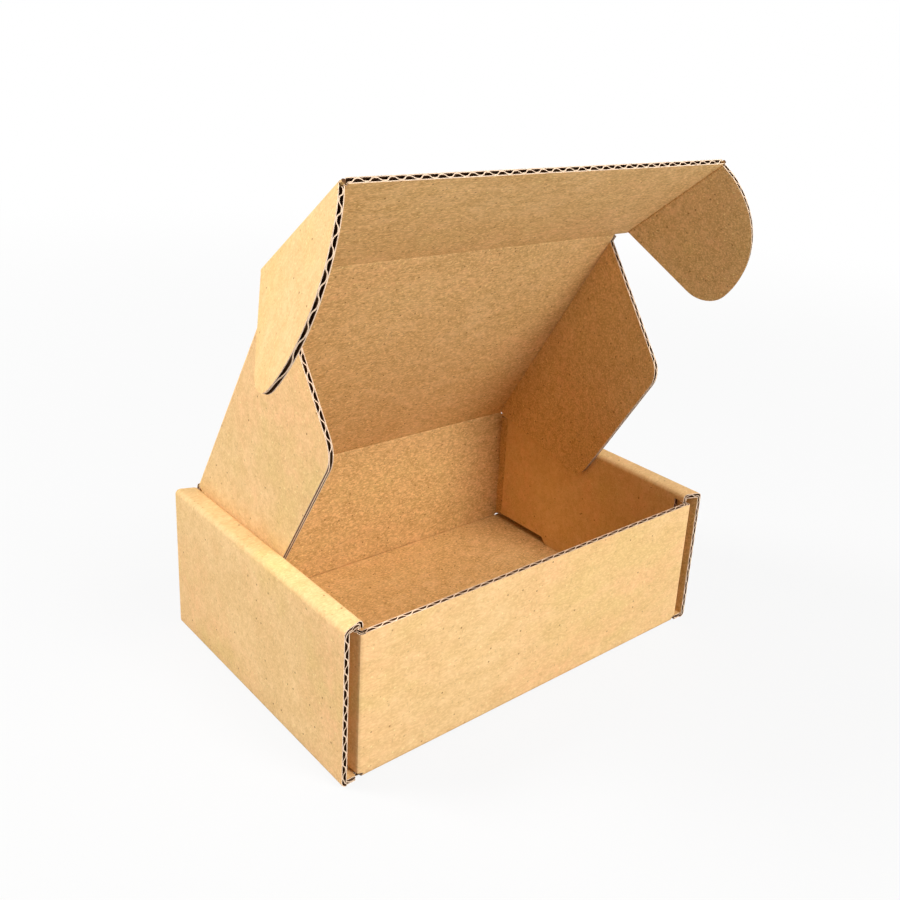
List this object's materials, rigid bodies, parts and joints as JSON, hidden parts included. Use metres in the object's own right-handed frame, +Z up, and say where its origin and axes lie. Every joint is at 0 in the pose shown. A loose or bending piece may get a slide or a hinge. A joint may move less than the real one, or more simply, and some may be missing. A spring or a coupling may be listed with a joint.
{
  "type": "corrugated mailer box",
  "caption": "Small roll-end tuck-front mailer box in plain brown corrugated board, lid half open, with dust flaps on the lid and ears on the tuck flap.",
  "frame": {"origin": "middle of the base's underside, on the surface the box stands on", "axes": "+X along the front wall to the right, +Y from the front wall to the hinge wall, +Z up"},
  "size_m": [0.2304, 0.128, 0.2114],
  "materials": {
    "kraft_board": "matte brown kraft liner"
  },
  "bodies": {
    "tray": {"tray": "kraft_board"},
    "lid": {"lid_panel": "kraft_board"},
    "left_side_flap": {"side_flap_left": "kraft_board"},
    "right_side_flap": {"side_flap_right": "kraft_board"},
    "tuck": {"tuck_flap": "kraft_board"},
    "left_ear": {"ear_left": "kraft_board"},
    "right_ear": {"ear_right": "kraft_board"}
  },
  "joints": [
    {"name": "lid_hinge", "type": "hinge", "parent": "tray", "child": "lid", "pos_m": [0, 0.0629, 0.0634], "axis": [-1, 0, 0], "range_deg": [-58, 122]},
    {"name": "tuck_fold", "type": "hinge", "parent": "lid", "child": "tuck", "pos_m": [0, -0.00509, 0.1722], "axis": [-1, 0, 0], "range_deg": [-70, 20]},
    {"name": "left_side_fold", "type": "hinge", "parent": "lid", "child": "left_side_flap", "pos_m": [-0.08345, 0.06197, 0.06282], "axis": [0, -0.5299, 0.848], "range_deg": [0, 80]},
    {"name": "right_side_fold", "type": "hinge", "parent": "lid", "child": "right_side_flap", "pos_m": [0.08345, 0.06197, 0.06282], "axis": [0, 0.5299, -0.848], "range_deg": [0, 80]},
    {"name": "left_ear_fold", "type": "hinge", "parent": "tuck", "child": "left_ear", "pos_m": [-0.09155, -0.00509, 0.1722], "axis": [0, 0.788, -0.6157], "range_deg": [-24, 66]},
    {"name": "right_ear_fold", "type": "hinge", "parent": "tuck", "child": "right_ear", "pos_m": [0.09155, -0.00509, 0.1722], "axis": [0, -0.788, 0.6157], "range_deg": [-30, 60]}
  ]
}
